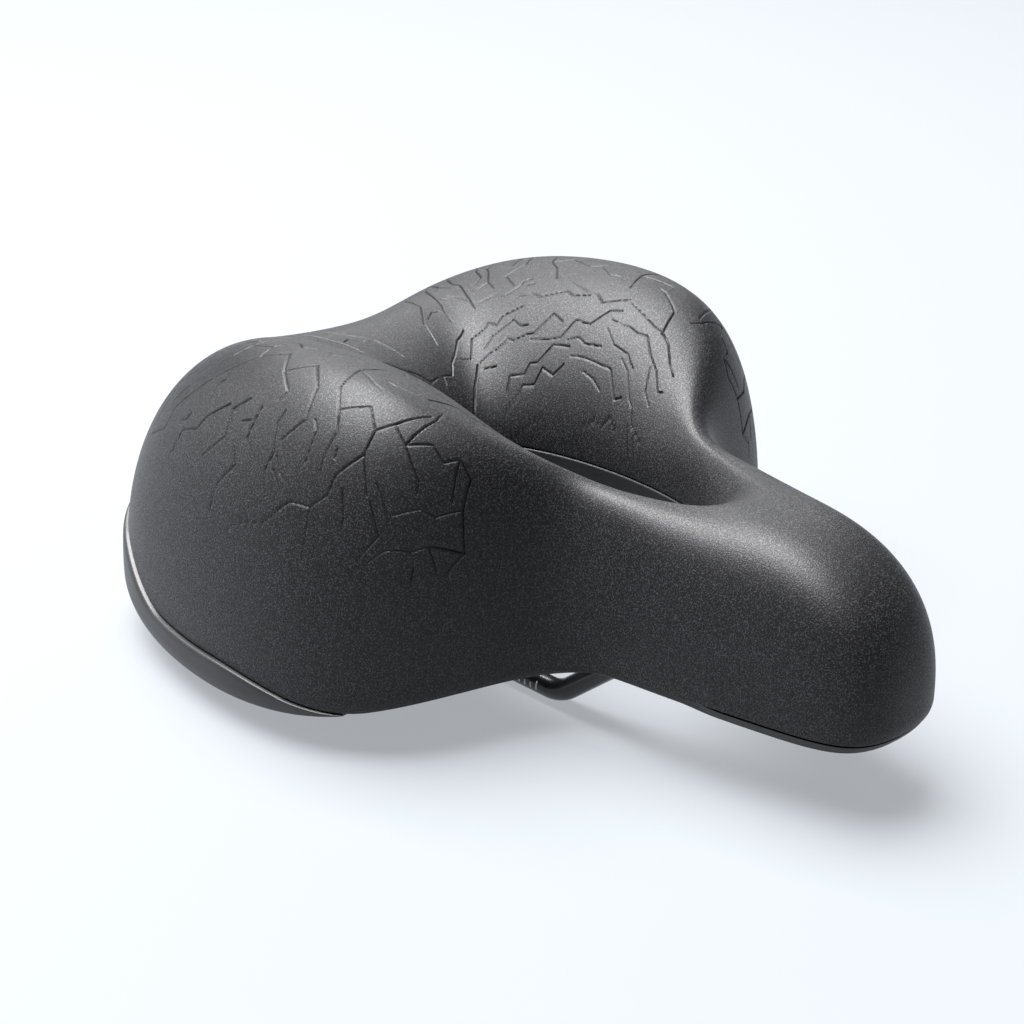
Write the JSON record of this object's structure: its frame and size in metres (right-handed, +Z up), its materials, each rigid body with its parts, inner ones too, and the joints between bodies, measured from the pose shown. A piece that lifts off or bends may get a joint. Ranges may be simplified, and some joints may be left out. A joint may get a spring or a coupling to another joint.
{
  "type": "bicycle saddle",
  "caption": "Wide comfort bicycle saddle with a padded cover over a moulded shell, a central relief hole, a tail bumper, and rails with elastomer suspension.",
  "frame": {"origin": "middle of the bottom of the bounding box: the plane that the rails rest on, under the middle of the saddle", "axes": "+X across, towards the rider's left wing when the nose is at the front of the view; the nose points along -Y and the tail along +Y; +Z up"},
  "size_m": [0.2084, 0.2716, 0.1093],
  "materials": {
    "cover_skin": "matte soft-touch polyurethane skin with a fine grain and an engraved crackle on the wings",
    "foam": "open moulded polyurethane foam",
    "shell_plastic": "satin injection-moulded polypropylene",
    "bumper_plastic": "satin moulded polypropylene, smoother than the cover",
    "yoke_plastic": "glass-filled nylon",
    "elastomer_rubber": "matte elastomer",
    "rail_steel": "satin black coated steel rod with pale clamp marks",
    "zinc_steel": "zinc-plated steel"
  },
  "bodies": {
    "rails": {"rail_frame": "rail_steel", "rear_yoke": "yoke_plastic", "elastomer_left": "elastomer_rubber", "lower_cup_left": "zinc_steel", "yoke_screw_left": "zinc_steel", "elastomer_right": "elastomer_rubber", "lower_cup_right": "zinc_steel", "yoke_screw_right": "zinc_steel"},
    "seat": {"cover": "cover_skin", "foam_pad": "foam", "base_shell": "shell_plastic", "rear_bumper": "bumper_plastic", "nose_cap": "shell_plastic", "nose_screw_front": "zinc_steel", "nose_screw_rear": "zinc_steel", "bumper_screw_left": "zinc_steel", "bumper_screw_middle": "zinc_steel", "bumper_screw_right": "zinc_steel", "upper_cup_left": "zinc_steel", "suspension_bolt_left": "zinc_steel", "bolt_washer_left": "zinc_steel", "insert_nut_left": "zinc_steel", "upper_cup_right": "zinc_steel", "suspension_bolt_right": "zinc_steel", "bolt_washer_right": "zinc_steel", "insert_nut_right": "zinc_steel"}
  },
  "joints": [
    {"name": "suspension", "type": "hinge", "parent": "rails", "child": "seat", "pos_m": [0, -0.10079, 0.038], "axis": [-1, 0, 0], "range_deg": [0, 1.4], "stiffness_Nm_per_rad": 3000, "deforming": ["elastomer_left", "elastomer_right"]}
  ]
}
